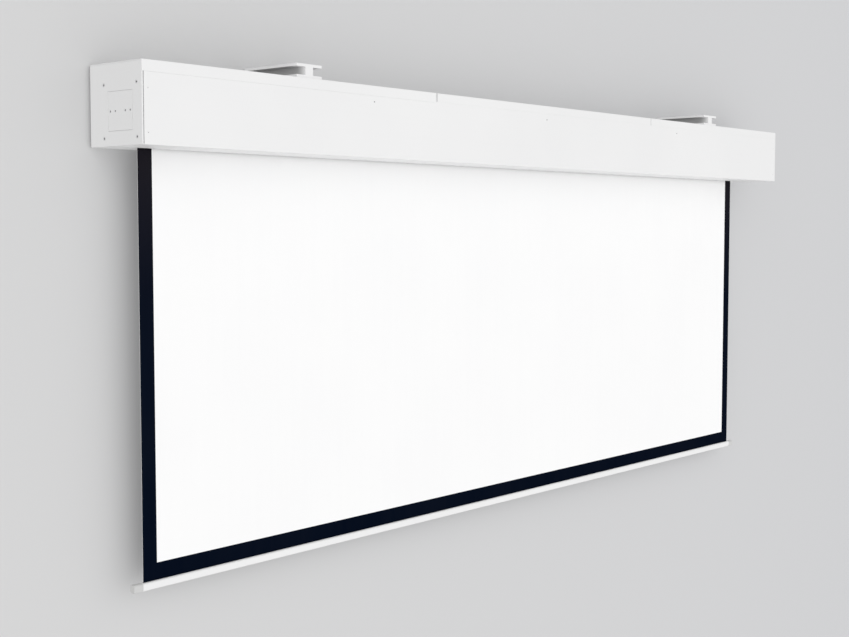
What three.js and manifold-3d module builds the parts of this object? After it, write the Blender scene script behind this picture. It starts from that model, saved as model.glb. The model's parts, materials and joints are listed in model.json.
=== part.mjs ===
// Motorized projector screen, lowered. Sizes are millimetres.
// X runs along the case, Y into the wall and Z up.
// The origin is the middle of the rear beam's back, where it lies against the wall.

import * as THREE from 'three';
import { mergeVertices } from 'three/addons/utils/BufferGeometryUtils.js';
import Module from 'manifold-3d';

const wasm = await Module();
wasm.setup();

// Clearances shared by all pieces
const seatGap = 0.3;
const runningGap = 3;
const cutOverrun = 2;

// Case; the rear beam stands out behind the end plates and the top cover
const beamProud = 9;
const coverThickness = 2.5;
const topCoverThickness = 3;
const beamWall = 3;
const slotWidth = 20;
const slotLipDepth = 14;

// Edge covers along the top front edge
const lipHeight = 33;
const lipThickness = 1.2;
const flushLipThickness = 1.5;
const lipOverlap = 3;
const edgeCoverDepth = 20.5;
const leftSeamFromEnd = 1273;
const rightSeamFromEnd = 1165.8;
const leftSeamWidth = 4.5;
const rightSeamWidth = 1.5;

// Shallow bands rolled into the front cover
const bandWidth = 30;
const bandDepth = 0.2;
const upperBandFromTop = 101;
const lowerBandFromTop = 167;

// Rail inside the top front edge
const railDepth = 40;
const railWall = 2.5;

// End plates and what is fixed to them
const endPlateThickness = 5;
const endPlateReveal = 2.8;
const insetPlateSide = 112;
const insetPlateGap = 0.6;
const cornerScrewOffset = 76.5;
const cornerScrewHead = 5;
const cornerScrewHeadDepth = 3;
const cornerScrewSunk = 0.6;
const cornerScrewShank = 3;
const cornerScrewLength = 20;
const cornerScrewClearance = 0.4;
const cornerSocket = 2.9;
const cornerSocketDepth = 1.8;
const supportThickness = 6;
const supportPad = 8;
const supportPadHeight = 3;
const supportFlange = 30;
const supportFlangeThickness = 4;
const supportMargin = 14;
const supportFoot = 6;
const bossRadius = 32;

// Ribs between the rear beam and the front rail
const ribFromEnd = 952;
const ribThickness = 3;
const ribTabWidth = 30;
const ribTabThickness = 2.5;
const ribClearance = 6;
const ribScrewFromTop = 53;
const ribScrewHead = 4;
const ribScrewHeadHeight = 1.6;
const ribScrewShank = 2;
const ribScrewLength = 12;
const ribSocket = 1.7;
const ribSocketDepth = 0.9;

// Roller
const rollerFromFront = 100.9;
const rollerFromBack = 140.5;
const rollerFromTop = 138.6;
const rollerFromBottom = 98.7;
const rollerTubeRadius = 59.5;
const rollerTubeWall = 3;
const woundThickness = 1.3;
const rollerOverhang = 8.5;
const plugLength = 60;
const plugFlange = 6;
const plugFlangeDrop = 0.5;
const idlerShaftRadius = 10;
const bearingRadius = 21;
const bearingWidth = 12;
const bearingPocketDepth = 14;
const bearingStandOff = 30;

// Tubular motor
const motorRadius = 29.5;
const motorLength = 620;
const motorHeadRadius = 43;
const motorHeadLength = 46;
const motorPinSide = 16;
const motorPinLength = 12;
const motorFlatDepth = 5;
const outputShaftRadius = 8;
const outputShaftDepth = 14;
const crownLength = 40;
const wheelWidth = 30;
const wheelHub = 18;
const wheelRim = 4;
const wheelWeb = 6;
const limitScrewRadius = 4.5;
const limitScrewHeight = 4;
const limitScrewDepth = 6;
const limitScrewPitch = 20;
const limitSocket = 2.4;
const limitSocketDepth = 3;

// Junction box, motor lead and gland
const boxLength = 90;
const boxDepth = 64;
const boxHeight = 36;
const boxWall = 2.5;
const boxFromEnd = 24;
const boxFromFront = 76;
const boxLidThickness = 2;
const leadRadius = 3.5;
const leadRise = 14;
const glandFromTop = 24;
const glandBore = 4;
const glandThread = 10;
const glandHex = 14;
const glandHexLength = 6;
const glandDome = 11.5;
const glandDomeLength = 12;
const glandNutThickness = 5;

// Projection sheet
const sheetWidth = 3600;
const sheetFromLeftEnd = 103.8;
const sheetFromRightEnd = 155;
const sheetThickness = 0.5;
const sheetDrop = 1295.7;
const borderWidth = 52.5;

// Bottom bar
const barHeight = 24.8;
const barDepth = 20;
const barCorner = 6;
const barOverhang = 2.5;
const barSlit = 2.4;
const hemChannel = 4;
const hemChannelDrop = 6.8;
const hemRodRadius = 3;
const ballastBore = 5;
const ballastBoreDrop = 17.3;
const capLength = 37;
const capStep = 0.8;
const capBevel = 2.2;

// Arms on the case's top
const leftArmFromEnd = 656;
const rightArmFromEnd = 647;
const armWidth = 110;
const armHeight = 44;
const armFlange = 9;
const armWeb = 33;
const armWebWall = 4;
const armSetback = 5;
const wallPlateThickness = 6;
const wallPlateHole = 4.5;
const armHoleOffset = 34;
const armHole = 5.6;
const armBoltShank = 5;
const armBoltHex = 9.8;
const armBoltHeadHeight = 6.4;
const armBoltLength = 28;
const armBoltInset = 12;

// Facets
const fineSides = 48;
const roundSides = 28;
const smallSides = 12;
const hexSides = 6;
const arcSteps = 4;
const bevelSteps = 2;
const leadSides = 8;
const leadSteps = 24;

// Places that several pieces share
const caseLength = sheetFromLeftEnd + sheetWidth + sheetFromRightEnd;
const caseDepth = rollerFromFront + rollerFromBack;
const caseHeight = rollerFromTop + rollerFromBottom;
const endX = caseLength / 2;
const ribPitch = endX - ribFromEnd;
const backY = -beamProud;
const frontY = backY - caseDepth;
const topZ = caseHeight / 2;
const bottomZ = -caseHeight / 2;
const frontFaceY = frontY + lipThickness + seatGap;
const frontInnerY = frontFaceY + coverThickness;
const frontCoverTopZ = topZ - lipHeight + lipOverlap;
const edgeCoverBackY = frontY + edgeCoverDepth;
const underTopCoverZ = topZ - topCoverThickness - seatGap;
const flushLipTopZ = topZ - lipThickness - seatGap;
const underFlushLipZ = flushLipTopZ - flushLipThickness - seatGap;
const railFrontY = frontFaceY + flushLipThickness + seatGap;
const railBackY = railFrontY + railDepth;
const railBottomZ = frontCoverTopZ + seatGap;
const rollerY = frontY + rollerFromFront;
const rollerZ = topZ - rollerFromTop;
const woundRadius = rollerTubeRadius + seatGap + woundThickness;
const sheetFrontY = rollerY + woundRadius + seatGap;
const sheetMiddleY = sheetFrontY + sheetThickness / 2;
const sheetCentreX = sheetFromLeftEnd + sheetWidth / 2 - endX;
const slotFrontY = sheetMiddleY - slotWidth / 2;
const slotBackY = sheetMiddleY + slotWidth / 2;
const beamFrontY = slotBackY + slotLipDepth;
const barTopZ = bottomZ - sheetDrop;
const barEnd = sheetWidth / 2 + barOverhang;
const whiteBottomZ = barTopZ + borderWidth;
const betweenEndPlatesX = endX - endPlateThickness - seatGap;
const supportStart = endPlateThickness + supportPadHeight + seatGap;
const supportEnd = supportStart + supportThickness;
const leftTubeInset = sheetFromLeftEnd - rollerOverhang;
const rightTubeInset = sheetFromRightEnd - rollerOverhang;
const tubeBore = rollerTubeRadius - rollerTubeWall;
const motorHeadInner = rightTubeInset - seatGap - plugFlange - runningGap;
const motorHeadOuter = motorHeadInner - motorHeadLength;
const bearingBossEnd = leftTubeInset - seatGap - plugFlange - bearingStandOff;
const frontBoltY = edgeCoverBackY + armBoltInset;
const rearBoltY = beamFrontY / 2;
const armBottomZ = topZ + seatGap;
const glandZ = topZ - glandFromTop;
const boxFrontY = frontY + boxFromFront;
const glandY = boxFrontY + boxDepth / 2;

// Directions
const axisX = new THREE.Vector3(1, 0, 0);
const axisY = new THREE.Vector3(0, 1, 0);
const axisZ = new THREE.Vector3(0, 0, 1);
const left = -1;
const right = 1;
const sides = [['left', left], ['right', right]];

// Materials
function whitePaint() {
  return new THREE.MeshStandardMaterial({ color: 0xf1f1f1, roughness: 0.45, metalness: 0 });
}

function whiteExtrusion() {
  return new THREE.MeshStandardMaterial({ color: 0xf4f4f4, roughness: 0.35, metalness: 0 });
}

function zincSteel() {
  return new THREE.MeshStandardMaterial({ color: 0xa9adb0, roughness: 0.4, metalness: 0.9 });
}

function rawAluminium() {
  return new THREE.MeshStandardMaterial({ color: 0xc4c7ca, roughness: 0.38, metalness: 0.85 });
}

function motorEnamel() {
  return new THREE.MeshStandardMaterial({ color: 0x3a3d42, roughness: 0.5, metalness: 0.4 });
}

function blackPlastic() {
  return new THREE.MeshStandardMaterial({ color: 0x1d1e20, roughness: 0.6, metalness: 0 });
}

function greyPlastic() {
  return new THREE.MeshStandardMaterial({ color: 0xd4d4d3, roughness: 0.55, metalness: 0 });
}

function limitPlastic(colour) {
  return new THREE.MeshStandardMaterial({ color: colour, roughness: 0.5, metalness: 0 });
}

function leadRubber() {
  return new THREE.MeshStandardMaterial({ color: 0x202124, roughness: 0.7, metalness: 0 });
}

function whiteFabric() {
  return new THREE.MeshStandardMaterial({ color: 0xfcfcfc, roughness: 0.85, metalness: 0 });
}

function blackFabric() {
  return new THREE.MeshStandardMaterial({ color: 0x11131c, roughness: 0.8, metalness: 0 });
}

// Outlines
function polygon(points) {
  return new THREE.Shape(points.map(([u, v]) => new THREE.Vector2(u, v)));
}

function rectangle(u0, v0, u1, v1) {
  return polygon([[u0, v0], [u1, v0], [u1, v1], [u0, v1]]);
}

function rectangularHole(u0, v0, u1, v1) {
  return new THREE.Path(rectangle(u0, v0, u1, v1).getPoints());
}

function circlePoints(radius, u, v, count) {
  const points = [];
  for (let index = 0; index < count; index += 1) {
    const angle = index * Math.PI * 2 / count;
    points.push([u + radius * Math.cos(angle), v + radius * Math.sin(angle)]);
  }
  return points;
}

function circle(radius, u = 0, v = 0, count = smallSides) {
  return polygon(circlePoints(radius, u, v, count));
}

function roundHole(radius, u = 0, v = 0, count = smallSides) {
  return new THREE.Path(circle(radius, u, v, count).getPoints());
}

function hexagon(radius) {
  return circle(radius, 0, 0, hexSides);
}

function roundedRectangle(width, height, corner) {
  const u = width / 2 - corner;
  const v = height / 2 - corner;
  const shape = new THREE.Shape();
  shape.absarc(u, v, corner, 0, Math.PI / 2, false);
  shape.absarc(-u, v, corner, Math.PI / 2, Math.PI, false);
  shape.absarc(-u, -v, corner, Math.PI, Math.PI * 1.5, false);
  shape.absarc(u, -v, corner, Math.PI * 1.5, Math.PI * 2, false);
  return shape;
}

// Shared vertices are merged, and triangles that this leaves without an area are dropped
function welded(geometry) {
  const bare = geometry.clone();
  bare.deleteAttribute('normal');
  bare.deleteAttribute('uv');
  const merged = mergeVertices(bare, seatGap / 1000);
  const corners = merged.index.array;
  const kept = [];
  for (let start = 0; start < corners.length; start += 3) {
    const [a, b, c] = corners.slice(start, start + 3);
    if (a !== b && b !== c && c !== a) {
      kept.push(a, b, c);
    }
  }
  merged.setIndex(kept);
  return merged;
}

// Prisms: an outline drawn in (y, z), (x, z) or (x, y) and run along the third axis
function prism(shape, depth, basis) {
  const geometry = new THREE.ExtrudeGeometry(shape, { depth, bevelEnabled: false, curveSegments: arcSteps });
  return welded(geometry).applyMatrix4(new THREE.Matrix4().makeBasis(...basis));
}

function prismX(shape, xa, xb) {
  return prism(shape, Math.abs(xb - xa), [axisY, axisZ, axisX]).translate(Math.min(xa, xb), 0, 0);
}

function prismY(shape, ya, yb) {
  const towardsFront = axisY.clone().negate();
  return prism(shape, Math.abs(yb - ya), [axisX, axisZ, towardsFront]).translate(0, Math.max(ya, yb), 0);
}

function prismZ(shape, za, zb) {
  return prism(shape, Math.abs(zb - za), [axisX, axisY, axisZ]).translate(0, 0, Math.min(za, zb));
}

function block(x0, x1, y0, y1, z0, z1) {
  const geometry = new THREE.BoxGeometry(Math.abs(x1 - x0), Math.abs(y1 - y0), Math.abs(z1 - z0));
  return geometry.translate((x0 + x1) / 2, (y0 + y1) / 2, (z0 + z1) / 2);
}

// Solids: joining and cutting closed meshes
function solid(geometry) {
  const merged = welded(geometry);
  const vertProperties = new Float32Array(merged.attributes.position.array);
  const triVerts = new Uint32Array(merged.index.array);
  return new wasm.Manifold(new wasm.Mesh({ numProp: 3, vertProperties, triVerts }));
}

function geometryOf(body) {
  const mesh = body.getMesh();
  const geometry = new THREE.BufferGeometry();
  geometry.setAttribute('position', new THREE.BufferAttribute(mesh.vertProperties, 3));
  geometry.setIndex(new THREE.BufferAttribute(mesh.triVerts, 1));
  const flat = geometry.toNonIndexed();
  flat.computeVertexNormals();
  return flat;
}

function cut(geometry, ...tools) {
  return geometryOf(tools.reduce((body, tool) => body.subtract(solid(tool)), solid(geometry)));
}

function join(geometry, ...others) {
  return geometryOf(others.reduce((body, other) => body.add(solid(other)), solid(geometry)));
}

function common(geometry, other) {
  return geometryOf(solid(geometry).intersect(solid(other)));
}

function piece(name, geometry, material) {
  const mesh = new THREE.Mesh(geometry, material);
  mesh.name = name;
  return mesh;
}

// A place along the case, measured inwards from one end
function fromEnd(side, inset) {
  return side * (endX - inset);
}

function armX(side) {
  return fromEnd(side, side === left ? leftArmFromEnd : rightArmFromEnd);
}

// Case

function rearBeam() {
  const section = polygon([
    [0, bottomZ],
    [0, underTopCoverZ],
    [beamFrontY, underTopCoverZ],
    [beamFrontY, bottomZ + beamWall],
    [slotBackY, bottomZ + beamWall],
    [slotBackY, bottomZ],
  ]);
  const hollow = block(
    -endX,
    endX,
    beamFrontY + beamWall,
    -beamWall,
    bottomZ + beamWall,
    underTopCoverZ - beamWall,
  );
  const beam = prismX(section, -betweenEndPlatesX, betweenEndPlatesX);
  return piece('rear_beam', cut(beam, hollow, ...boltBores(rearBoltY, left)), whiteExtrusion());
}

function frontRail() {
  const section = polygon([
    [railFrontY, railBottomZ],
    [railBackY, railBottomZ],
    [railBackY, underTopCoverZ],
    [edgeCoverBackY, underTopCoverZ],
    [edgeCoverBackY, underFlushLipZ],
    [railFrontY, underFlushLipZ],
  ]);
  const hollow = block(
    -endX,
    endX,
    railFrontY + railWall,
    railBackY - railWall,
    railBottomZ + railWall,
    underFlushLipZ - railWall,
  );
  const rail = prismX(section, -betweenEndPlatesX, betweenEndPlatesX);
  return piece('front_rail', cut(rail, hollow, ...boltBores(frontBoltY, right)), rawAluminium());
}

// Bores for the arms' bolts along one row, down through the case's top
function boltBores(y, offsetSide) {
  return sides.map(([, side]) => {
    const x = armX(side) + offsetSide * armHoleOffset;
    return prismZ(circle(armHole, x, y), topZ - armBoltLength, topZ + cutOverrun);
  });
}

function topCover() {
  const outline = rectangle(-endX, edgeCoverBackY + seatGap, endX, backY);
  for (const [, side] of sides) {
    const x = armX(side);
    outline.holes.push(roundHole(armHole, x + armHoleOffset, frontBoltY));
    outline.holes.push(roundHole(armHole, x - armHoleOffset, rearBoltY));
  }
  return piece('top_cover', prismZ(outline, topZ - topCoverThickness, topZ), whitePaint());
}

function frontCover() {
  const section = new THREE.Shape();
  section.moveTo(frontInnerY, bottomZ);
  section.lineTo(frontInnerY, frontCoverTopZ);
  section.lineTo(frontFaceY, frontCoverTopZ);
  for (const fromTop of [upperBandFromTop, lowerBandFromTop]) {
    const middle = topZ - fromTop;
    section.lineTo(frontFaceY, middle + bandWidth / 2);
    section.quadraticCurveTo(frontFaceY + bandDepth * 2, middle, frontFaceY, middle - bandWidth / 2);
  }
  section.lineTo(frontFaceY, bottomZ);
  const reach = endX - endPlateThickness - endPlateReveal;
  const cover = prismX(section, -reach, reach);
  return piece('front_cover', cut(cover, ...ribScrewBores()), whitePaint());
}

function ribScrewBores() {
  return ribPlaces().map(([, x]) => prismY(
    circle(ribScrewShank + seatGap, x, topZ - ribScrewFromTop),
    frontY,
    frontInnerY + ribTabThickness + cutOverrun,
  ));
}

function bottomCover() {
  const section = rectangle(frontInnerY + seatGap, bottomZ, slotFrontY, bottomZ + coverThickness);
  return piece('bottom_cover', prismX(section, -betweenEndPlatesX, betweenEndPlatesX), whitePaint());
}

// The left edge cover stands proud of the front cover and laps over its top edge
function proudEdgeCover(name, xa, xb) {
  const section = polygon([
    [frontY, topZ - lipHeight],
    [frontY + lipThickness, topZ - lipHeight],
    [frontY + lipThickness, topZ - lipThickness],
    [edgeCoverBackY, topZ - lipThickness],
    [edgeCoverBackY, topZ],
    [frontY, topZ],
  ]);
  return piece(name, prismX(section, xa, xb), whitePaint());
}

// The others lie flush with the front cover's face; the top leg is as high as the top cover
function flushEdgeCover(name, xa, xb) {
  const section = polygon([
    [frontFaceY, railBottomZ],
    [frontFaceY + flushLipThickness, railBottomZ],
    [frontFaceY + flushLipThickness, flushLipTopZ - flushLipThickness],
    [edgeCoverBackY, flushLipTopZ - flushLipThickness],
    [edgeCoverBackY, topZ],
    [frontFaceY, topZ],
  ]);
  return piece(name, prismX(section, xa, xb), whitePaint());
}

function edgeCovers() {
  const leftSeamX = leftSeamFromEnd - endX;
  const rightSeamX = endX - rightSeamFromEnd;
  return [
    proudEdgeCover('edge_cover_left', -endX, leftSeamX - leftSeamWidth / 2),
    flushEdgeCover('edge_cover_middle', leftSeamX + leftSeamWidth / 2, rightSeamX - rightSeamWidth / 2),
    flushEdgeCover('edge_cover_right', rightSeamX + rightSeamWidth / 2, betweenEndPlatesX),
  ];
}

// Ribs and their screws

function ribPlaces() {
  return [['left', -ribPitch], ['middle', 0], ['right', ribPitch]];
}

function rib(name, x) {
  const tabBackY = frontInnerY + seatGap + ribTabThickness;
  const lowZ = rollerZ + woundRadius + ribClearance;
  const web = prismX(polygon([
    [frontInnerY + seatGap, lowZ],
    [beamFrontY - seatGap, lowZ],
    [beamFrontY - seatGap, underTopCoverZ],
    [railBackY + seatGap, underTopCoverZ],
    [railBackY + seatGap, railBottomZ - seatGap],
    [frontInnerY + seatGap, railBottomZ - seatGap],
  ]), x - ribTabWidth / 2, x - ribTabWidth / 2 + ribThickness);
  const tab = block(
    x - ribTabWidth / 2,
    x + ribTabWidth / 2,
    frontInnerY + seatGap,
    tabBackY,
    lowZ,
    railBottomZ - seatGap,
  );
  return piece(`rib_${name}`, cut(join(web, tab), ...ribScrewBores()), zincSteel());
}

// A small pan-head screw that stands on the front cover's face and points into the case
function ribScrew(name, x) {
  const head = prismY(circle(ribScrewHead), 0, -ribScrewHeadHeight);
  const shank = prismY(circle(ribScrewShank), -ribScrewHeadHeight / 2, ribScrewLength);
  const headFace = -ribScrewHeadHeight;
  const socket = prismY(hexagon(ribSocket), headFace + ribSocketDepth, headFace - cutOverrun);
  const screw = piece(`cover_screw_${name}`, cut(join(head, shank), socket), whitePaint());
  screw.position.set(x, frontFaceY - seatGap, topZ - ribScrewFromTop);
  return screw;
}

// End plates, the plates set into them and the support brackets behind them

function cornerPlaces() {
  const places = [];
  for (const [rowName, row] of [['upper', 1], ['lower', -1]]) {
    for (const [columnName, column] of [['front', -1], ['rear', 1]]) {
      places.push([
        `${rowName}_${columnName}`,
        rollerY + column * cornerScrewOffset,
        rollerZ + row * cornerScrewOffset,
      ]);
    }
  }
  return places;
}

function cornerBores(side) {
  const bores = [];
  for (const [, y, z] of cornerPlaces()) {
    const counterbore = circle(cornerScrewHead + cornerScrewClearance, y, z);
    const through = circle(cornerScrewShank + cornerScrewClearance, y, z);
    const seat = cornerScrewSunk + cornerScrewHeadDepth + seatGap;
    bores.push(prismX(counterbore, fromEnd(side, -cutOverrun), fromEnd(side, seat)));
    bores.push(prismX(through, fromEnd(side, 0), fromEnd(side, supportEnd + cutOverrun)));
  }
  return bores;
}

function endPlate(name, side) {
  const outline = polygon([
    [backY, bottomZ],
    [backY, underTopCoverZ],
    [edgeCoverBackY, underTopCoverZ],
    [edgeCoverBackY, flushLipTopZ],
    [frontFaceY, flushLipTopZ],
    [frontFaceY, bottomZ],
  ]);
  const half = insetPlateSide / 2 + insetPlateGap;
  outline.holes.push(rectangularHole(rollerY - half, rollerZ - half, rollerY + half, rollerZ + half));
  if (side === right) {
    outline.holes.push(roundHole(glandThread + seatGap, glandY, glandZ));
  }
  const plate = prismX(outline, fromEnd(side, 0), fromEnd(side, endPlateThickness));
  return piece(`end_plate_${name}`, cut(plate, ...cornerBores(side)), whitePaint());
}

function cornerScrew(endName, side, placeName, y, z) {
  const headEnd = cornerScrewSunk + cornerScrewHeadDepth;
  const head = prismX(circle(cornerScrewHead), -cornerScrewSunk, -headEnd);
  const shank = prismX(circle(cornerScrewShank), -cornerScrewSunk - cornerSocketDepth, -cornerScrewLength);
  const socket = prismX(hexagon(cornerSocket), cutOverrun, -cornerScrewSunk - cornerSocketDepth);
  const screw = piece(`end_screw_${endName}_${placeName}`, cut(join(head, shank), socket), zincSteel());
  screw.position.set(side * endX, y, z);
  screw.rotation.z = side === left ? Math.PI : 0;
  return screw;
}

function supportBracket(name, side) {
  const lowZ = bottomZ + coverThickness + supportFoot;
  const highZ = rollerZ + cornerScrewOffset + supportMargin;
  const foreY = frontInnerY + seatGap;
  const rearY = beamFrontY - seatGap;
  const outline = rectangle(foreY, lowZ, rearY, highZ);
  outline.holes.push(roundHole(bossRadius + seatGap * 2, rollerY, rollerZ, roundSides));
  const plate = prismX(outline, fromEnd(side, supportStart), fromEnd(side, supportEnd));
  const padStart = fromEnd(side, endPlateThickness + seatGap);
  const room = block(padStart, fromEnd(side, supportEnd), foreY, rearY, lowZ, highZ);
  const pads = cornerPlaces().map(([, y, z]) => {
    const pad = prismX(circle(supportPad, y, z), padStart, fromEnd(side, supportEnd));
    return common(pad, room);
  });
  const flangeStart = fromEnd(side, supportStart);
  const flangeEnd = fromEnd(side, supportStart + supportFlange);
  const foreFlange = block(flangeStart, flangeEnd, foreY, foreY + supportFlangeThickness, lowZ, highZ);
  const rearFlange = block(flangeStart, flangeEnd, rearY - supportFlangeThickness, rearY, lowZ, highZ);
  const body = join(plate, ...pads, foreFlange, rearFlange);
  return piece(`support_bracket_${name}`, cut(body, ...cornerBores(side)), zincSteel());
}

function insetPlate(side) {
  const half = insetPlateSide / 2;
  const square = rectangle(rollerY - half, rollerZ - half, rollerY + half, rollerZ + half);
  return prismX(square, fromEnd(side, 0), fromEnd(side, supportStart - seatGap));
}

function supportBoss(side, reach) {
  const outline = circle(bossRadius, rollerY, rollerZ, roundSides);
  return prismX(outline, fromEnd(side, endPlateThickness), fromEnd(side, reach));
}

function bearingPlate() {
  const boss = supportBoss(left, bearingBossEnd);
  const pocket = prismX(
    circle(bearingRadius + seatGap * 2, rollerY, rollerZ, roundSides),
    fromEnd(left, bearingBossEnd - bearingPocketDepth),
    fromEnd(left, bearingBossEnd + cutOverrun),
  );
  return piece('bearing_plate', cut(join(insetPlate(left), boss), pocket), whitePaint());
}

function motorPlate() {
  const bossEnd = motorHeadOuter - seatGap;
  const pinHalf = motorPinSide / 2 + seatGap;
  const boss = supportBoss(right, bossEnd);
  const pocket = block(
    fromEnd(right, bossEnd - motorPinLength - seatGap),
    fromEnd(right, bossEnd + cutOverrun),
    rollerY - pinHalf,
    rollerY + pinHalf,
    rollerZ - pinHalf,
    rollerZ + pinHalf,
  );
  return piece('motor_plate', cut(join(insetPlate(right), boss), pocket), whitePaint());
}

// Roller, drawn about its own axis

function ring(outer, inner, xa, xb, count = fineSides) {
  const shape = circle(outer, 0, 0, count);
  shape.holes.push(roundHole(inner, 0, 0, count));
  return prismX(shape, xa, xb);
}

function disc(radius, xa, xb, count = roundSides) {
  return prismX(circle(radius, 0, 0, count), xa, xb);
}

function rollerTube() {
  const tube = ring(rollerTubeRadius, tubeBore, fromEnd(left, leftTubeInset), fromEnd(right, rightTubeInset));
  return piece('roller_tube', tube, rawAluminium());
}

function woundFabric() {
  const start = sheetCentreX - sheetWidth / 2;
  const turns = ring(woundRadius, rollerTubeRadius + seatGap, start, start + sheetWidth);
  return piece('wound_fabric', turns, blackFabric());
}

function idlerPlug() {
  const flangeX = fromEnd(left, leftTubeInset - seatGap - plugFlange);
  const seatX = fromEnd(left, leftTubeInset - seatGap);
  const body = disc(tubeBore - seatGap, flangeX, seatX + plugLength, fineSides);
  const flange = disc(rollerTubeRadius - plugFlangeDrop, flangeX, seatX, fineSides);
  const bore = disc(idlerShaftRadius + seatGap, flangeX - cutOverrun, seatX + plugLength + cutOverrun);
  return piece('idler_plug', cut(join(body, flange), bore), blackPlastic());
}

function idlerShaft() {
  const start = fromEnd(left, bearingBossEnd - bearingPocketDepth + seatGap);
  const end = fromEnd(left, leftTubeInset - seatGap) + plugLength;
  return piece('idler_shaft', disc(idlerShaftRadius, start, end), zincSteel());
}

function idlerBearing() {
  const end = fromEnd(left, bearingBossEnd);
  const bearing = ring(bearingRadius, idlerShaftRadius + seatGap, end - bearingWidth, end, roundSides);
  return piece('idler_bearing', bearing, zincSteel());
}

function crownRing() {
  const flangeX = fromEnd(right, rightTubeInset - seatGap - plugFlange);
  const seatX = fromEnd(right, rightTubeInset - seatGap);
  const body = disc(tubeBore - seatGap, flangeX, seatX - crownLength, fineSides);
  const flange = disc(rollerTubeRadius - plugFlangeDrop, flangeX, seatX, fineSides);
  const bore = disc(motorRadius + seatGap, flangeX + cutOverrun, seatX - crownLength - cutOverrun);
  return piece('crown_ring', cut(join(body, flange), bore), blackPlastic());
}

// The drive wheel carries the motor's turning output shaft
function driveWheel() {
  const outer = tubeBore - seatGap;
  const motorEnd = fromEnd(right, motorHeadInner + motorLength);
  const start = motorEnd - runningGap;
  const rim = ring(outer, outer - wheelRim, start, start - wheelWidth);
  const web = disc(outer - wheelRim / 2, start - wheelWeb, start - wheelWeb * 2, fineSides);
  const hub = disc(wheelHub, start, start - wheelWidth);
  const shaft = disc(outputShaftRadius, motorEnd + outputShaftDepth, start - wheelWeb);
  return piece('drive_wheel', join(web, rim, hub, shaft), blackPlastic());
}

function motorTube() {
  const start = fromEnd(right, motorHeadInner + seatGap);
  const end = fromEnd(right, motorHeadInner + motorLength);
  const bore = disc(outputShaftRadius + seatGap, end + outputShaftDepth + seatGap, end - cutOverrun);
  return piece('motor_tube', cut(disc(motorRadius, start, end), bore), motorEnamel());
}

// The motor head's limit screws look towards the sheet's slot, through which a key reaches them
function limitDirection() {
  return new THREE.Vector3(0, sheetMiddleY - rollerY, bottomZ - rollerZ).normalize();
}

function limitTurn() {
  return new THREE.Quaternion().setFromUnitVectors(axisZ, limitDirection());
}

function limitPlaces() {
  const middle = fromEnd(right, (motorHeadOuter + motorHeadInner) / 2);
  return [['up', middle - limitScrewPitch / 2], ['down', middle + limitScrewPitch / 2]];
}

function motorHead() {
  const xa = fromEnd(right, motorHeadOuter);
  const xb = fromEnd(right, motorHeadInner);
  const body = disc(motorHeadRadius, xa, xb, fineSides);
  const half = motorPinSide / 2;
  const pin = block(xa - cutOverrun, xa + motorPinLength, -half, half, -half, half);
  const flatRadius = motorHeadRadius - motorFlatDepth;
  const flat = block(
    xa + cutOverrun,
    xb - cutOverrun,
    -motorHeadRadius,
    motorHeadRadius,
    flatRadius,
    motorHeadRadius + cutOverrun,
  ).applyQuaternion(limitTurn());
  const wells = limitPlaces().map(([, x]) => {
    const well = prismZ(circle(limitScrewRadius + seatGap), flatRadius - limitScrewDepth, motorHeadRadius);
    return well.applyQuaternion(limitTurn()).translate(x, 0, 0);
  });
  return piece('motor_head', cut(join(body, pin), flat, ...wells), motorEnamel());
}

function limitScrew(name, x, colour) {
  const flatRadius = motorHeadRadius - motorFlatDepth;
  const body = prismZ(circle(limitScrewRadius), seatGap - limitScrewDepth, limitScrewHeight);
  const socketFloor = limitScrewHeight - limitSocketDepth;
  const socket = prismZ(hexagon(limitSocket), socketFloor, limitScrewHeight + cutOverrun);
  const screw = piece(`limit_screw_${name}`, cut(body, socket), limitPlastic(colour));
  screw.position.copy(limitDirection().multiplyScalar(flatRadius)).setX(x);
  screw.quaternion.copy(limitTurn());
  return screw;
}

function rollerAssembly() {
  const group = new THREE.Group();
  group.position.set(0, rollerY, rollerZ);
  group.add(rollerTube(), woundFabric(), idlerPlug(), idlerShaft(), idlerBearing());
  group.add(crownRing(), driveWheel(), motorTube(), motorHead());
  const colours = { up: 0xe8e8e4, down: 0xd8b23a };
  for (const [name, x] of limitPlaces()) {
    group.add(limitScrew(name, x, colours[name]));
  }
  return group;
}

// Junction box, motor lead and gland

function boxSpan() {
  return { near: fromEnd(right, boxFromEnd), far: fromEnd(right, boxFromEnd + boxLength) };
}

function junctionBox() {
  const { near, far } = boxSpan();
  const lowZ = underTopCoverZ - boxHeight;
  const boxBackY = boxFrontY + boxDepth;
  const body = block(far, near, boxFrontY, boxBackY, lowZ, underTopCoverZ);
  const hollow = block(
    far + boxWall,
    near - boxWall,
    boxFrontY + boxWall,
    boxBackY - boxWall,
    lowZ - cutOverrun,
    underTopCoverZ - boxWall,
  );
  return piece('junction_box', cut(body, hollow), greyPlastic());
}

function junctionBoxLid() {
  const { near, far } = boxSpan();
  const highZ = underTopCoverZ - boxHeight - seatGap;
  const lid = block(far, near, boxFrontY, boxFrontY + boxDepth, highZ - boxLidThickness, highZ);
  return piece('junction_box_lid', lid, greyPlastic());
}

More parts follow.
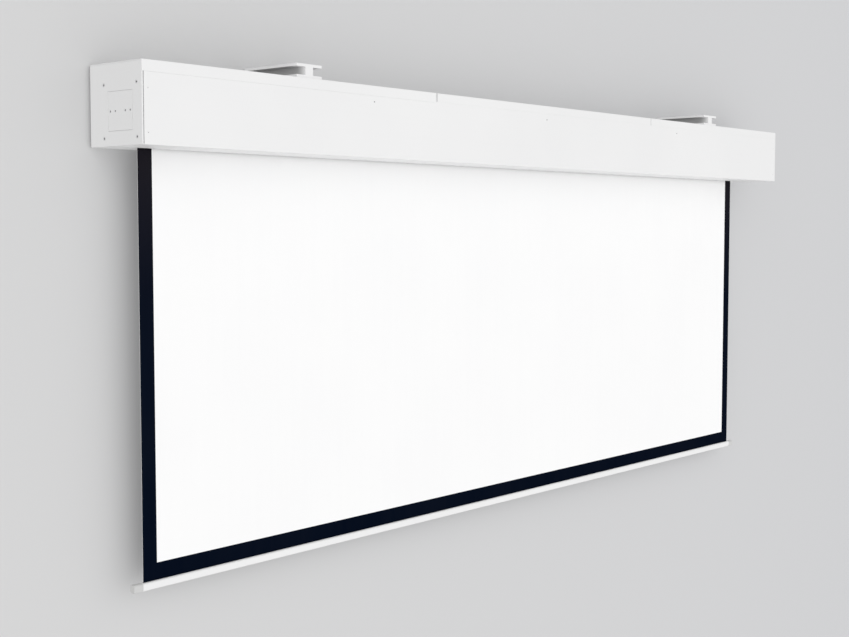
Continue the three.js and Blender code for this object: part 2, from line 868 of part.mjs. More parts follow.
function motorLead() {
  const { near, far } = boxSpan();
  const leadX = fromEnd(right, (motorHeadOuter + motorHeadInner) / 2);
  const boxX = (near + far) / 2;
  const headZ = rollerZ + motorHeadRadius + seatGap;
  const lidZ = underTopCoverZ - boxHeight - seatGap * 2 - boxLidThickness;
  const route = new THREE.CatmullRomCurve3([
    new THREE.Vector3(leadX, rollerY, headZ),
    new THREE.Vector3(leadX, rollerY, headZ + leadRise),
    new THREE.Vector3(boxX, glandY, lidZ - leadRise),
    new THREE.Vector3(boxX, glandY, lidZ),
  ]);
  const section = circle(leadRadius, 0, 0, leadSides);
  const lead = new THREE.ExtrudeGeometry(section, { steps: leadSteps, extrudePath: route });
  return piece('motor_lead', geometryOf(solid(lead)), leadRubber());
}

function cableGland() {
  const threadEnd = -endPlateThickness - glandNutThickness - seatGap * 3;
  const thread = prismX(circle(glandThread), threadEnd, cutOverrun);
  const hex = prismX(hexagon(glandHex), seatGap, glandHexLength);
  const dome = prismX(circle(glandDome), glandHexLength / 2, glandHexLength + glandDomeLength);
  const bore = prismX(circle(glandBore), -endPlateThickness * 3, (glandHexLength + glandDomeLength) * 2);
  const gland = piece('cable_gland', cut(join(hex, dome, thread), bore), greyPlastic());
  gland.position.set(endX, glandY, glandZ);
  return gland;
}

function glandNut() {
  const nut = hexagon(glandHex);
  nut.holes.push(roundHole(glandThread + seatGap));
  const start = -endPlateThickness - seatGap;
  const mesh = piece('gland_nut', prismX(nut, start, start - glandNutThickness), greyPlastic());
  mesh.position.set(endX, glandY, glandZ);
  return mesh;
}

// Sheet: the white surface between its two side borders, all hanging from the roller

function hangingStrip(xa, xb) {
  return block(xa, xb, sheetFrontY, sheetFrontY + sheetThickness, whiteBottomZ + seatGap, rollerZ);
}

function projectionSurface() {
  const half = sheetWidth / 2 - borderWidth;
  return piece('projection_surface', hangingStrip(sheetCentreX - half, sheetCentreX + half), whiteFabric());
}

function sideBorder(name, side) {
  const outer = sheetCentreX + side * sheetWidth / 2;
  const inner = outer - side * (borderWidth - seatGap);
  return piece(`side_border_${name}`, hangingStrip(inner, outer), blackFabric());
}

// Bottom bar, drawn from the middle of its top edge, with the border above it

function bottomBorder() {
  const low = hemRodRadius + seatGap - hemRodDrop();
  const half = sheetThickness / 2;
  const border = block(-sheetWidth / 2, sheetWidth / 2, -half, half, low, borderWidth);
  return piece('bottom_border', border, blackFabric());
}

function hemRodDrop() {
  return hemChannelDrop - (hemChannel - hemRodRadius - seatGap);
}

function hemRod() {
  const rod = prismX(circle(hemRodRadius, 0, -hemRodDrop()), -sheetWidth / 2, sheetWidth / 2);
  return piece('hem_rod', rod, greyPlastic());
}

function bottomBar() {
  const halfDepth = barDepth / 2;
  const halfSlit = barSlit / 2;
  const opening = Math.asin(halfSlit / hemChannel);
  const section = new THREE.Shape();
  section.moveTo(halfSlit, 0);
  section.lineTo(halfSlit, hemChannel * Math.cos(opening) - hemChannelDrop);
  const channelStart = Math.PI / 2 - opening;
  const channelEnd = Math.PI / 2 + opening - Math.PI * 2;
  section.absarc(0, -hemChannelDrop, hemChannel, channelStart, channelEnd, true);
  section.lineTo(-halfSlit, 0);
  section.absarc(barCorner - halfDepth, -barCorner, barCorner, Math.PI / 2, Math.PI, false);
  section.absarc(barCorner - halfDepth, barCorner - barHeight, barCorner, Math.PI, Math.PI * 1.5, false);
  section.absarc(halfDepth - barCorner, barCorner - barHeight, barCorner, Math.PI * 1.5, Math.PI * 2, false);
  section.absarc(halfDepth - barCorner, -barCorner, barCorner, 0, Math.PI / 2, false);
  section.holes.push(roundHole(ballastBore, 0, -ballastBoreDrop));
  return piece('bottom_bar', prismX(section, -barEnd, barEnd), whiteExtrusion());
}

function barCap(name, side) {
  const section = roundedRectangle(
    barDepth + capStep * 2 - capBevel * 2,
    barHeight + capStep * 2 - capBevel * 2,
    barCorner + capStep - capBevel,
  );
  const block = new THREE.ExtrudeGeometry(section, {
    depth: capLength - seatGap - capBevel * 2,
    curveSegments: arcSteps,
    bevelThickness: capBevel,
    bevelSize: capBevel,
    bevelSegments: bevelSteps,
  });
  block.applyMatrix4(new THREE.Matrix4().makeBasis(axisY, axisZ, axisX));
  const startX = side === left ? capBevel - barEnd - capLength : barEnd + seatGap + capBevel;
  block.translate(startX, 0, -barHeight / 2);
  return piece(`bar_cap_${name}`, geometryOf(solid(block)), greyPlastic());
}

function barAssembly() {
  const group = new THREE.Group();
  group.position.set(sheetCentreX, sheetMiddleY, barTopZ);
  group.add(bottomBorder(), hemRod(), bottomBar());
  for (const [name, side] of sides) {
    group.add(barCap(name, side));
  }
  return group;
}

// Arms, drawn from the middle of the case's top at the wall

function armSection() {
  const half = armWidth / 2;
  const web = armWeb / 2;
  const high = armHeight - armFlange;
  return polygon([
    [-half, 0],
    [half, 0],
    [half, armFlange],
    [web, armFlange],
    [web, high],
    [half, high],
    [half, armHeight],
    [-half, armHeight],
    [-half, high],
    [-web, high],
    [-web, armFlange],
    [-half, armFlange],
  ]);
}

function boltPlaces() {
  return [['front', armHoleOffset, frontBoltY], ['rear', -armHoleOffset, rearBoltY]];
}

function arm(name) {
  const bar = prismY(armSection(), frontY + armSetback, -wallPlateThickness - seatGap);
  const halfHollow = armWeb / 2 - armWebWall;
  const hollowStart = frontY + armSetback + armWebWall;
  const hollow = block(-halfHollow, halfHollow, hollowStart, 0, armFlange, armHeight - armFlange);
  const bores = boltPlaces().map(([, x, y]) => {
    return prismZ(circle(armHole, x, y), -cutOverrun, armHeight + cutOverrun);
  });
  return piece(`arm_${name}`, cut(bar, hollow, ...bores), whitePaint());
}

function wallPlate(name) {
  const outline = rectangle(-armWidth / 2, 0, armWidth / 2, armHeight);
  for (const side of [left, right]) {
    outline.holes.push(roundHole(wallPlateHole, side * armHoleOffset, armHeight / 2));
  }
  return piece(`wall_plate_${name}`, prismY(outline, 0, -wallPlateThickness), whitePaint());
}

function armBolt(armName, placeName, x, y) {
  const head = prismZ(hexagon(armBoltHex), armFlange + seatGap, armFlange + seatGap + armBoltHeadHeight);
  const shank = prismZ(circle(armBoltShank), armFlange + armBoltHeadHeight / 2, armFlange - armBoltLength);
  const bolt = piece(`arm_bolt_${armName}_${placeName}`, join(head, shank), zincSteel());
  bolt.position.set(x, y, 0);
  return bolt;
}

function armAssembly(name, side) {
  const group = new THREE.Group();
  group.position.set(armX(side), 0, armBottomZ);
  group.add(arm(name), wallPlate(name));
  for (const [placeName, x, y] of boltPlaces()) {
    group.add(armBolt(name, placeName, x, y));
  }
  return group;
}

// The whole screen

const screen = new THREE.Group();
screen.add(rearBeam(), frontRail(), topCover(), frontCover(), bottomCover(), ...edgeCovers());
for (const [name, x] of ribPlaces()) {
  screen.add(rib(name, x), ribScrew(name, x));
}
for (const [name, side] of sides) {
  screen.add(endPlate(name, side), supportBracket(name, side));
  for (const [placeName, y, z] of cornerPlaces()) {
    screen.add(cornerScrew(name, side, placeName, y, z));
  }
}
screen.add(bearingPlate(), motorPlate(), rollerAssembly());
screen.add(junctionBox(), junctionBoxLid(), motorLead(), cableGland(), glandNut());
screen.add(projectionSurface());
for (const [name, side] of sides) {
  screen.add(sideBorder(name, side));
}
screen.add(barAssembly());
for (const [name, side] of sides) {
  screen.add(armAssembly(name, side));
}

export default screen;
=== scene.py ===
import json
import math

import bpy
from mathutils import Matrix, Vector


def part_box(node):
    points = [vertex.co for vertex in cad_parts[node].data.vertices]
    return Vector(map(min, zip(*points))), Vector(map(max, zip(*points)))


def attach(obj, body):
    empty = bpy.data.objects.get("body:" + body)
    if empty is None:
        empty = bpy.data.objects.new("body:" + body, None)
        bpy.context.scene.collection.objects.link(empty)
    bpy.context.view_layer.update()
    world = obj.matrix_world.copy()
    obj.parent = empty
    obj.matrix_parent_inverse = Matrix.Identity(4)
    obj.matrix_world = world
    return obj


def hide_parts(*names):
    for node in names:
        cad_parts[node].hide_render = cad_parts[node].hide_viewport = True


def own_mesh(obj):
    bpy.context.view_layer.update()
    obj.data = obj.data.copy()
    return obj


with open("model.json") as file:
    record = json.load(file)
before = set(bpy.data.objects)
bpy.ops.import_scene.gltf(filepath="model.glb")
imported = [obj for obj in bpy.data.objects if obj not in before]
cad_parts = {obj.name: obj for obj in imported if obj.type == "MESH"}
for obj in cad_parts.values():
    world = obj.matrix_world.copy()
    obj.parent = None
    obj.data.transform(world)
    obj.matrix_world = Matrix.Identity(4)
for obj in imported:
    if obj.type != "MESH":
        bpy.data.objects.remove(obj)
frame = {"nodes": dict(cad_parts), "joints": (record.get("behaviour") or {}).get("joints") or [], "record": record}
nodes = frame["nodes"]
record = frame["record"]
slotOf = {part["node"]: part["material_slot"] for part in record["subparts"]}
bodyOf = {part: body for body, parts in record["behaviour"]["bodies"].items() for part in parts}
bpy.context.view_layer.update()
print("frame loaded,", len(nodes), "parts")


# Camera, at the place and angle the photograph was taken from

view = {
    "place": (-4.2896, -3.3349, -0.35695),
    "looking": (0.7546, 0.6528, -0.0658),
    "lens": 57.27,
    "sensor": 36.0,
    "far": 200.0,
}


def setCamera():
    bpy.ops.object.camera_add(location=view["place"])
    camera = bpy.context.object
    camera.name = "photo_camera"
    camera.rotation_euler = Vector(view["looking"]).to_track_quat("-Z", "Y").to_euler()
    camera.data.sensor_fit = "HORIZONTAL"
    camera.data.sensor_width = view["sensor"]
    camera.data.lens = view["lens"]
    camera.data.clip_end = view["far"]
    bpy.context.scene.camera = camera
    bpy.context.scene.view_settings.view_transform = "Standard"


setCamera()
print("camera set")


# Shader wiring: a wire is one socket, and sums on wires add their own Math nodes


class Wire:
    def __init__(self, finish, socket):
        self.finish = finish
        self.socket = socket

    def maths(self, operation, first, second):
        return self.finish.node("ShaderNodeMath", {"operation": operation}, {0: first, 1: second})

    def __add__(self, other):
        return self.maths("ADD", self, other)

    def __radd__(self, other):
        return self.maths("ADD", other, self)

    def __sub__(self, other):
        return self.maths("SUBTRACT", self, other)

    def __rsub__(self, other):
        return self.maths("SUBTRACT", other, self)

    def __mul__(self, other):
        return self.maths("MULTIPLY", self, other)


class Finish:
    def __init__(self, name):
        self.material = bpy.data.materials.new(name)
        self.material.use_nodes = True
        self.tree = self.material.node_tree
        self.tree.nodes.clear()
        self.place = self.node("ShaderNodeTexCoord", output="Object")

    def node(self, kind, settings=None, inputs=None, output=0):
        made = self.tree.nodes.new(kind)
        for key, value in (settings or {}).items():
            if key == "stops":
                while len(made.color_ramp.elements) < len(value):
                    made.color_ramp.elements.new(1)
                for stop, (position, level) in zip(made.color_ramp.elements, value):
                    stop.position = position
                    stop.color = (level, level, level, 1)
            else:
                setattr(made, key, value)
        for key, value in (inputs or {}).items():
            if isinstance(value, Wire):
                self.tree.links.new(value.socket, made.inputs[key])
            else:
                made.inputs[key].default_value = value
        return Wire(self, made.outputs[output])

    def stretch(self, x, y, z):
        return self.node("ShaderNodeMapping", None, {"Vector": self.place, "Scale": (x, y, z)})

    def noise(self, grain, place=None, detail=2.0):  # grain is the size of one lump, in metres
        settings = {"Vector": place or self.place, "Scale": 1 / grain, "Detail": detail}
        return self.node("ShaderNodeTexNoise", {"noise_dimensions": "3D"}, settings)

    def ramp(self, value, *stops):
        return self.node("ShaderNodeValToRGB", {"stops": stops}, {"Fac": value})

    def blend(self, share, first, second):
        colours = {0: share, 6: colour(first), 7: colour(second)}
        return self.node("ShaderNodeMix", {"data_type": "RGBA"}, colours, 2)

    def bump(self, height, depth, strength):
        sockets = {"Height": height, "Distance": depth, "Strength": strength}
        return self.node("ShaderNodeBump", None, sockets)

    def axis(self, vector, name):  # one coordinate of a vector
        return self.node("ShaderNodeSeparateXYZ", None, {"Vector": vector}, name)

    def between(self, value, start, end):  # 0 at the start, 1 at the end
        sockets = {"Value": value, "From Min": start, "From Max": end}
        return self.node("ShaderNodeMapRange", None, sockets)

    def close(self, sockets):
        self.end(self.node("ShaderNodeBsdfPrincipled", None, sockets))
        return self.material

    def end(self, surface, output="ShaderNodeOutputMaterial"):
        out = self.tree.nodes.new(output)
        self.tree.links.new(surface.socket, out.inputs["Surface"])


class Sky(Finish):  # the same wiring for the light all around
    def __init__(self, name):
        self.world = bpy.data.worlds.new(name)
        self.world.use_nodes = True
        self.tree = self.world.node_tree
        self.tree.nodes.clear()
        self.place = self.node("ShaderNodeTexCoord", output="Generated")


def colour(value):
    return value if isinstance(value, Wire) else (*value, 1)


# Finishes

powder = {
    "clean": (0.880, 0.880, 0.881),
    "dulled": (0.862, 0.862, 0.864),
    "roughness": 0.46,
    "gloss": 0.3,
    "drift": 0.55,
    "peel": 0.0019,
    "peelDepth": 0.00004,
    "fleck": 0.0006,
    "fleckShade": 0.93,
    "line": 0.004,
}


def powderCoat(name, tint=1.0, along=None):
    finish = Finish(name)
    drift = finish.noise(powder["drift"], detail=3.0)
    peel = finish.noise(powder["peel"], detail=1.0)
    fleck = finish.noise(powder["fleck"], detail=0.0)
    clean = [tint * c for c in powder["clean"]]
    dulled = [tint * c for c in powder["dulled"]]
    tone = finish.ramp(drift, (0.35, 0.0), (0.65, 1.0))
    shade = finish.blend(tone, clean, dulled)
    specks = finish.ramp(fleck, (0.70, 0.0), (0.78, 1.0))
    shade = finish.blend(specks * 0.25, shade, [powder["fleckShade"] * c for c in dulled])
    height = peel * 0.8 + fleck * 0.2
    if along:  # faint lines that the rollers or the die leave along the part
        lines = finish.noise(powder["line"], finish.stretch(0.004, 1, 1), detail=2.0)
        height = height + lines * along
    return finish.close({
        "Base Color": shade,
        "Roughness": powder["roughness"] + drift * 0.06 + peel * 0.05,
        "Normal": finish.bump(height, powder["peelDepth"], 0.5),
        "Specular IOR Level": powder["gloss"],
    })


zinc = {
    "light": (0.80, 0.81, 0.82),
    "dark": (0.66, 0.67, 0.69),
    "spangle": 0.006,
    "cloud": 0.012,
    "scratch": 0.0007,
    "scratchDepth": 0.00003,
    "roughness": 0.34,
}


def zincPlate(name):
    finish = Finish(name)
    spangle = finish.node("ShaderNodeTexVoronoi", {"feature": "F1"},
                          {"Vector": finish.place, "Scale": 1 / zinc["spangle"]}, "Color")
    grey = finish.node("ShaderNodeRGBToBW", None, {"Color": spangle})
    cloud = finish.noise(zinc["cloud"], detail=3.0)
    scratch = finish.noise(zinc["scratch"], finish.stretch(1, 0.08, 1), detail=1.0)
    return finish.close({
        "Base Color": finish.blend(grey * 0.5 + cloud * 0.5, zinc["light"], zinc["dark"]),
        "Metallic": 0.9,
        "Roughness": zinc["roughness"] + cloud * 0.16,
        "Normal": finish.bump(scratch + grey * 0.4, zinc["scratchDepth"], 0.5),
    })


mill = {
    "light": (0.78, 0.79, 0.80),
    "dark": (0.62, 0.63, 0.65),
    "line": 0.0009,
    "lineDepth": 0.00004,
    "smudge": 0.09,
    "roughness": 0.30,
}


def millAluminium(name):
    finish = Finish(name)
    lines = finish.noise(mill["line"], finish.stretch(0.004, 1, 1), detail=3.0)
    smudge = finish.noise(mill["smudge"], detail=4.0)
    return finish.close({
        "Base Color": finish.blend(lines * 0.7 + smudge * 0.3, mill["light"], mill["dark"]),
        "Metallic": 0.92,
        "Roughness": mill["roughness"] + lines * 0.14 + smudge * 0.08,
        "Normal": finish.bump(lines, mill["lineDepth"], 0.6),
    })


lacquer = {"ripple": 0.0022, "depth": 0.00005, "cloud": 0.05, "shade": 0.8, "roughness": 0.38}


def enamel(name, tone):
    finish = Finish(name)
    ripple = finish.noise(lacquer["ripple"], detail=2.0)
    cloud = finish.noise(lacquer["cloud"], detail=3.0)
    return finish.close({
        "Base Color": finish.blend(cloud, tone, [lacquer["shade"] * c for c in tone]),
        "Roughness": lacquer["roughness"] + cloud * 0.15,
        "Coat Weight": 0.25 + ripple * 0.1,
        "Coat Roughness": 0.2,
        "Normal": finish.bump(ripple, lacquer["depth"], 0.5),
    })


mould = {"grain": 0.0009, "depth": 0.00006, "cloud": 0.03, "shade": 0.88}


def moulding(name, tone, roughness=0.5):
    finish = Finish(name)
    grain = finish.noise(mould["grain"], detail=2.0)  # fine spark-eroded mould grain
    cloud = finish.noise(mould["cloud"], detail=3.0)
    shaded = [mould["shade"] * c for c in tone]
    return finish.close({
        "Base Color": finish.blend(cloud * 0.7 + grain * 0.3, tone, shaded),
        "Roughness": roughness + grain * 0.14,
        "Normal": finish.bump(grain, mould["depth"], 0.6),
    })


sheath = {
    "tone": (0.022, 0.022, 0.024),
    "rubbed": (0.045, 0.045, 0.047),
    "grain": 0.0006,
    "depth": 0.00005,
    "rub": 0.018,
    "roughness": 0.55,
}


def leadSheath(name):
    finish = Finish(name)
    grain = finish.noise(sheath["grain"], detail=2.0)
    rub = finish.noise(sheath["rub"], detail=3.0)
    return finish.close({
        "Base Color": finish.blend(rub, sheath["tone"], sheath["rubbed"]),
        "Roughness": sheath["roughness"] + rub * 0.2,
        "Normal": finish.bump(grain, sheath["depth"], 0.5),
    })


cloth = {
    "white": (0.972, 0.972, 0.972),
    "whiteWorn": (0.960, 0.960, 0.962),
    "border": (0.0014, 0.0038, 0.0112),
    "borderFaded": (0.0030, 0.0054, 0.0128),
    "borderNearCaseLight": (0.0135, 0.0122, 0.0165),  # painted light: greyer and lighter towards the top, near the case's white underside
    "nearCaseLightFrom": -0.80,
    "nearCaseLightTo": -0.16,
    "backing": (0.370, 0.370, 0.375),
    "backingFaded": (0.330, 0.330, 0.335),
    "thread": 0.0007,
    "threadDepth": 0.00003,
    "nap": 0.0011,
    "cloud": 0.35,
    "streak": 0.02,
}


def weave(name, main, other, roughness, gloss, rubbed=None):
    finish = Finish(name)
    # a wave spans two threads
    pitch = {"Vector": finish.place, "Scale": 1 / cloth["thread"] / 6.2832}
    warp = finish.node("ShaderNodeTexWave", {"bands_direction": "X"}, pitch, 1)
    weft = finish.node("ShaderNodeTexWave", {"bands_direction": "Z"}, pitch, 1)
    nap = finish.noise(cloth["nap"], detail=2.0)
    cloud = finish.noise(cloth["cloud"], detail=3.0)
    streak = finish.noise(cloth["streak"], finish.stretch(1, 1, 0.03), detail=2.0)
    share = finish.ramp(cloud * 0.6 + streak * 0.3 + nap * 0.1, (0.38, 0.0), (0.62, 1.0))
    shade = finish.blend(share, main, other)
    # painted light: the border lighter and greyer towards the top, near the case
    if rubbed:
        height = finish.axis(finish.place, "Z")
        high = finish.between(height, cloth["nearCaseLightFrom"], cloth["nearCaseLightTo"])
        shade = finish.blend(high * high, shade, rubbed)
    return finish.close({
        "Base Color": shade,
        "Roughness": roughness + nap * 0.08,
        "Normal": finish.bump(warp * weft + nap * 0.3, cloth["threadDepth"], 0.35),
        "Specular IOR Level": gloss,
    })


finishes = {
    "white_paint": powderCoat("white_powder_coat"),
    "white_extrusion": powderCoat("white_extrusion_coat", 1.0, 0.5),
    # a copy of the white coat 2.5% darker: painted shade for the end plates
    "end_paint": powderCoat("end_plate_shaded_coat", 0.975),
    "raw_aluminium": millAluminium("mill_aluminium"),
    "zinc_steel": zincPlate("zinc_plate"),
    "motor_enamel": enamel("motor_enamel", (0.045, 0.048, 0.055)),
    "black_plastic": moulding("black_moulding", (0.018, 0.018, 0.020)),
    "grey_plastic": moulding("light_grey_moulding", (0.66, 0.66, 0.655), 0.42),
    "limit_white": moulding("white_limit_moulding", (0.80, 0.80, 0.77)),
    "limit_yellow": moulding("yellow_limit_moulding", (0.70, 0.44, 0.05)),
    "lead_rubber": leadSheath("lead_sheath"),
    "white_fabric": weave("screen_white", cloth["white"], cloth["whiteWorn"], 0.86, 0.3),
    "black_fabric": weave("screen_border", cloth["border"], cloth["borderFaded"], 0.80, 0.01,
                          cloth["borderNearCaseLight"]),
}


cutEndShade = {
    "tone": (0.42, 0.42, 0.43),
    "dull": (0.33, 0.33, 0.34),
    "cloud": 0.02,
    "mark": 0.0006,
    "markDepth": 0.00005,
}


def sawCutShade(name):  # the bare end of a length cut after coating, painted darker than bare metal as shade in the seams and the gap at the wall
    finish = Finish(name)
    marks = finish.noise(cutEndShade["mark"], finish.stretch(1, 0.1, 1), detail=2.0)
    cloud = finish.noise(cutEndShade["cloud"], detail=3.0)
    return finish.close({
        "Base Color": finish.blend(marks * 0.6 + cloud * 0.4, cutEndShade["tone"], cutEndShade["dull"]),
        "Metallic": 0.5,
        "Roughness": 0.5 + marks * 0.2,
        "Normal": finish.bump(marks, cutEndShade["markDepth"], 0.6),
    })


# painted shade in the arms' recess: the colour falls from light at the front to deep further in
recess = {"front": -0.2454, "reach": 0.046, "light": 0.97, "deep": 0.60, "cloud": 0.03}


def paintedRecessShade():  # painted shade between the flanges: light at the front, darker deeper in towards the wall
    finish = Finish("arm_recess_painted_shade")
    depth = finish.axis(finish.place, "Y")
    deepest = recess["front"] + recess["reach"]
    ends = {"Value": depth, "From Min": recess["front"], "From Max": deepest}
    share = finish.node("ShaderNodeMapRange", {"interpolation_type": "SMOOTHSTEP"}, ends)
    cloud = finish.noise(recess["cloud"], detail=3.0)
    peel = finish.noise(powder["peel"], detail=1.0)
    light = [recess["light"] * c for c in powder["clean"]]
    deep = [recess["deep"] * c for c in powder["clean"]]
    return finish.close({
        "Base Color": finish.blend(share * 0.94 + cloud * 0.06, light, deep),
        "Roughness": 0.55 + cloud * 0.1,
        "Normal": finish.bump(peel, powder["peelDepth"], 0.5),
        "Specular IOR Level": powder["gloss"],
    })


recessShadeMaterial = paintedRecessShade()
bareEndShade = sawCutShade("saw_cut_end_shade")
# painted shade: near-black faces inside the screws' hex sockets
socketShade = enamel("socket_painted_shade", (0.018, 0.018, 0.020))
dulledSteel = enamel("dulled_steel", (0.440, 0.440, 0.445))
paleSteel = enamel("pale_steel", (0.700, 0.700, 0.705))
backing = weave("screen_backing", cloth["backing"], cloth["backingFaded"], 0.78, 0.3)
for part, node in nodes.items():
    node.data.materials.clear()
    node.data.materials.append(finishes[slotOf[part]])
print("finishes made")


# Modelling helpers

near = 0.0001  # within this of a plane, a vertex lies on it
facing = 0.9  # above this, a normal's part along an axis means that the face looks that way


def lookOnly(piece):
    bpy.ops.object.select_all(action="DESELECT")
    piece.select_set(True)
    bpy.context.view_layer.objects.active = piece


def settle(piece, name):  # the place goes into the mesh
    lookOnly(piece)
    bpy.ops.object.transform_apply(location=True, rotation=True, scale=True)
    piece.name = name
    piece.data.name = name
    return piece


def pick(piece, test, kind="FACE"):
    bpy.ops.object.mode_set(mode="EDIT")
    bpy.ops.mesh.select_mode(type=kind)
    bpy.ops.mesh.select_all(action="DESELECT")
    bpy.ops.object.mode_set(mode="OBJECT")
    mesh = piece.data
    if kind == "FACE":
        for face in mesh.polygons:
            face.select = test(face.center, face.normal)
    else:
        for edge in mesh.edges:
            a, b = (mesh.vertices[i].co for i in edge.vertices)
            edge.select = test(a, b)
    bpy.ops.object.mode_set(mode="EDIT")


def paintFaces(piece, index, test):  # a second material on some faces
    for face in piece.data.polygons:
        if test(face.center, face.normal):
            face.material_index = index


def leaveEdit():
    bpy.ops.mesh.select_all(action="DESELECT")
    bpy.ops.object.mode_set(mode="OBJECT")


def modify(piece, kind, **settings):
    lookOnly(piece)
    modifier = piece.modifiers.new(kind.lower(), kind)
    for key, value in settings.items():
        setattr(modifier, key, value)
    bpy.ops.object.modifier_apply(modifier=modifier.name)


def smooth(piece, angle=35):
    lookOnly(piece)
    bpy.ops.object.shade_smooth_by_angle(angle=math.radians(angle))


def dress(piece, body, slot, *materials):
    if piece.data.materials:  # clearing would also undo what paintFaces has painted
        piece.data.materials.clear()
    for material in materials or [finishes[slot]]:
        piece.data.materials.append(material)
    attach(piece, body)
    return piece


def addPiece(name, mesh):
    piece = bpy.data.objects.new(name, mesh)
    mesh.name = name
    bpy.context.scene.collection.objects.link(piece)
    return piece


# Rigid pieces with their sharp edges taken off: a copy of each CAD mesh, merged and bevelled

rounding = {"merge": 0.00001, "flat": 0.2, "segments": 2, "angle": 40}

softEdges = {  # the bevel's width on each piece
    "front_cover": 0.0002,
    "edge_cover_left": 0.0003,
    "edge_cover_middle": 0.0002,
    "edge_cover_right": 0.0002,
    "top_cover": 0.0006,
    "bottom_cover": 0.0005,
    "rear_beam": 0.0006,
    "end_plate_left": 0.0005,
    "end_plate_right": 0.0005,
    "bearing_plate": 0.0004,
    "motor_plate": 0.0004,
    "arm_left": 0.0010,
    "arm_right": 0.0010,
    "wall_plate_left": 0.0008,
    "wall_plate_right": 0.0008,
    "bottom_bar": 0.0003,
    "junction_box": 0.0006,
    "junction_box_lid": 0.0005,
    "bar_cap_left": 0.0008,
    "bar_cap_right": 0.0008,
    "front_rail": 0.0004,
    "rib_left": 0.0003,
    "rib_middle": 0.0003,
    "rib_right": 0.0003,
    "support_bracket_left": 0.0005,
    "support_bracket_right": 0.0005,
    "roller_tube": 0.0002,
    "idler_plug": 0.0006,
    "idler_shaft": 0.0005,
    "idler_bearing": 0.0005,
    "crown_ring": 0.0005,
    "drive_wheel": 0.0004,
    "motor_tube": 0.0004,
    "motor_head": 0.0008,
    "motor_lead": 0.0003,
    "cable_gland": 0.0003,
    "gland_nut": 0.0003,
    "hem_rod": 0.0003,
    "limit_screw_up": 0.0002,
    "limit_screw_down": 0.0002,
    "arm_bolt_left_front": 0.0004,
    "arm_bolt_left_rear": 0.0004,
    "arm_bolt_right_front": 0.0004,
    "arm_bolt_right_rear": 0.0004,
}


def mergedCopy(part, name):
    piece = addPiece(name, nodes[part].data.copy())
    lookOnly(piece)
    bpy.ops.object.mode_set(mode="EDIT")
    bpy.ops.mesh.select_all(action="SELECT")
    bpy.ops.mesh.remove_doubles(threshold=rounding["merge"])
    bpy.ops.mesh.dissolve_limited(angle_limit=math.radians(rounding["flat"]))
    leaveEdit()
    return piece


insetScrews = {
    "offsets": (-0.0461, -0.0232, 0.0232, 0.0461),
    "sink": 0.0016,
    "sinkRadius": 0.0034,
    "sinkSides": 32,
    "spin": 0.3,
}


def sinkScrews(plate, part):  # shallow pockets for the small screws of each end's inset plate
    low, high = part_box(part)
    middle = (low + high) / 2
    face = low.x if part == "bearing_plate" else high.x
    for offset in insetScrews["offsets"]:
        bpy.ops.mesh.primitive_cylinder_add(vertices=insetScrews["sinkSides"],
                                            radius=insetScrews["sinkRadius"],
                                            depth=insetScrews["sink"] * 2,
                                            location=(face, middle.y + offset, middle.z),
                                            rotation=(0, math.pi / 2, 0))
        cutter = settle(bpy.context.object, "sink_cutter")
        modify(plate, "BOOLEAN", operation="DIFFERENCE", object=cutter, solver="EXACT")
        bpy.data.objects.remove(cutter)


flushJoint = {"parts": ("edge_cover_middle", "edge_cover_right"), "closes": 0.00025}


def closeJoint(piece, part):  # the front leg comes down on to the front cover's top edge
    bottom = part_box(part)[0].z
    for vertex in piece.data.vertices:
        if vertex.co.z < bottom + near:
            vertex.co.z -= flushJoint["closes"]


rightEnd = {"part": "front_cover", "closes": 0.0025}


def closeRightEnd(piece, part):  # the front cover comes close up to the right end plate
    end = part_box(part)[1].x
    for vertex in piece.data.vertices:
        if vertex.co.x > end - near:
            vertex.co.x += rightEnd["closes"]


capJoint = {"out": 0.0042, "inner": 0.0030}  # its move, and the length of a cap's inner end


def moveCapJoint(piece, part):  # the bar meets its end caps a little farther out
    low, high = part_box(part)
    for vertex in piece.data.vertices:
        x = vertex.co.x
        if part == "bottom_bar":
            if min(x - low.x, high.x - x) < near:
                vertex.co.x += math.copysign(capJoint["out"], x)
        elif part == "bar_cap_left":
            if x > high.x - capJoint["inner"]:
                vertex.co.x -= capJoint["out"]
        elif x < low.x + capJoint["inner"]:
            vertex.co.x += capJoint["out"]


def softCopy(part, name, width):
    piece = mergedCopy(part, name)
    if part in ("bearing_plate", "motor_plate"):
        sinkScrews(piece, part)
    if part in flushJoint["parts"]:
        closeJoint(piece, part)
    if part == rightEnd["part"]:
        closeRightEnd(piece, part)
    if part == "bottom_bar" or part.startswith("bar_cap"):
        moveCapJoint(piece, part)
    modify(piece, "BEVEL", width=width, segments=rounding["segments"], limit_method="ANGLE",
           angle_limit=math.radians(rounding["angle"]), use_clamp_overlap=True)
    lookOnly(piece)
    bpy.ops.object.shade_smooth()
    modify(piece, "WEIGHTED_NORMAL", mode="FACE_AREA", weight=100)
    dress(piece, bodyOf[part], slotOf[part])
    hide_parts(part)
    return piece


soft = {part: softCopy(part, part + "_soft", width) for part, width in softEdges.items()}
print("edges softened on", len(soft), "pieces")


# Bare ends with painted shade: the rear beam's, and the edge covers' at their two seams

bareShadedEnds = {  # which way each bare end faces
    "rear_beam": (-1, 1),
    "edge_cover_left": (1,),
    "edge_cover_middle": (-1, 1),
    "edge_cover_right": (-1,),
}
cutReach = 0.0005  # a face this near an end's plane is the cut


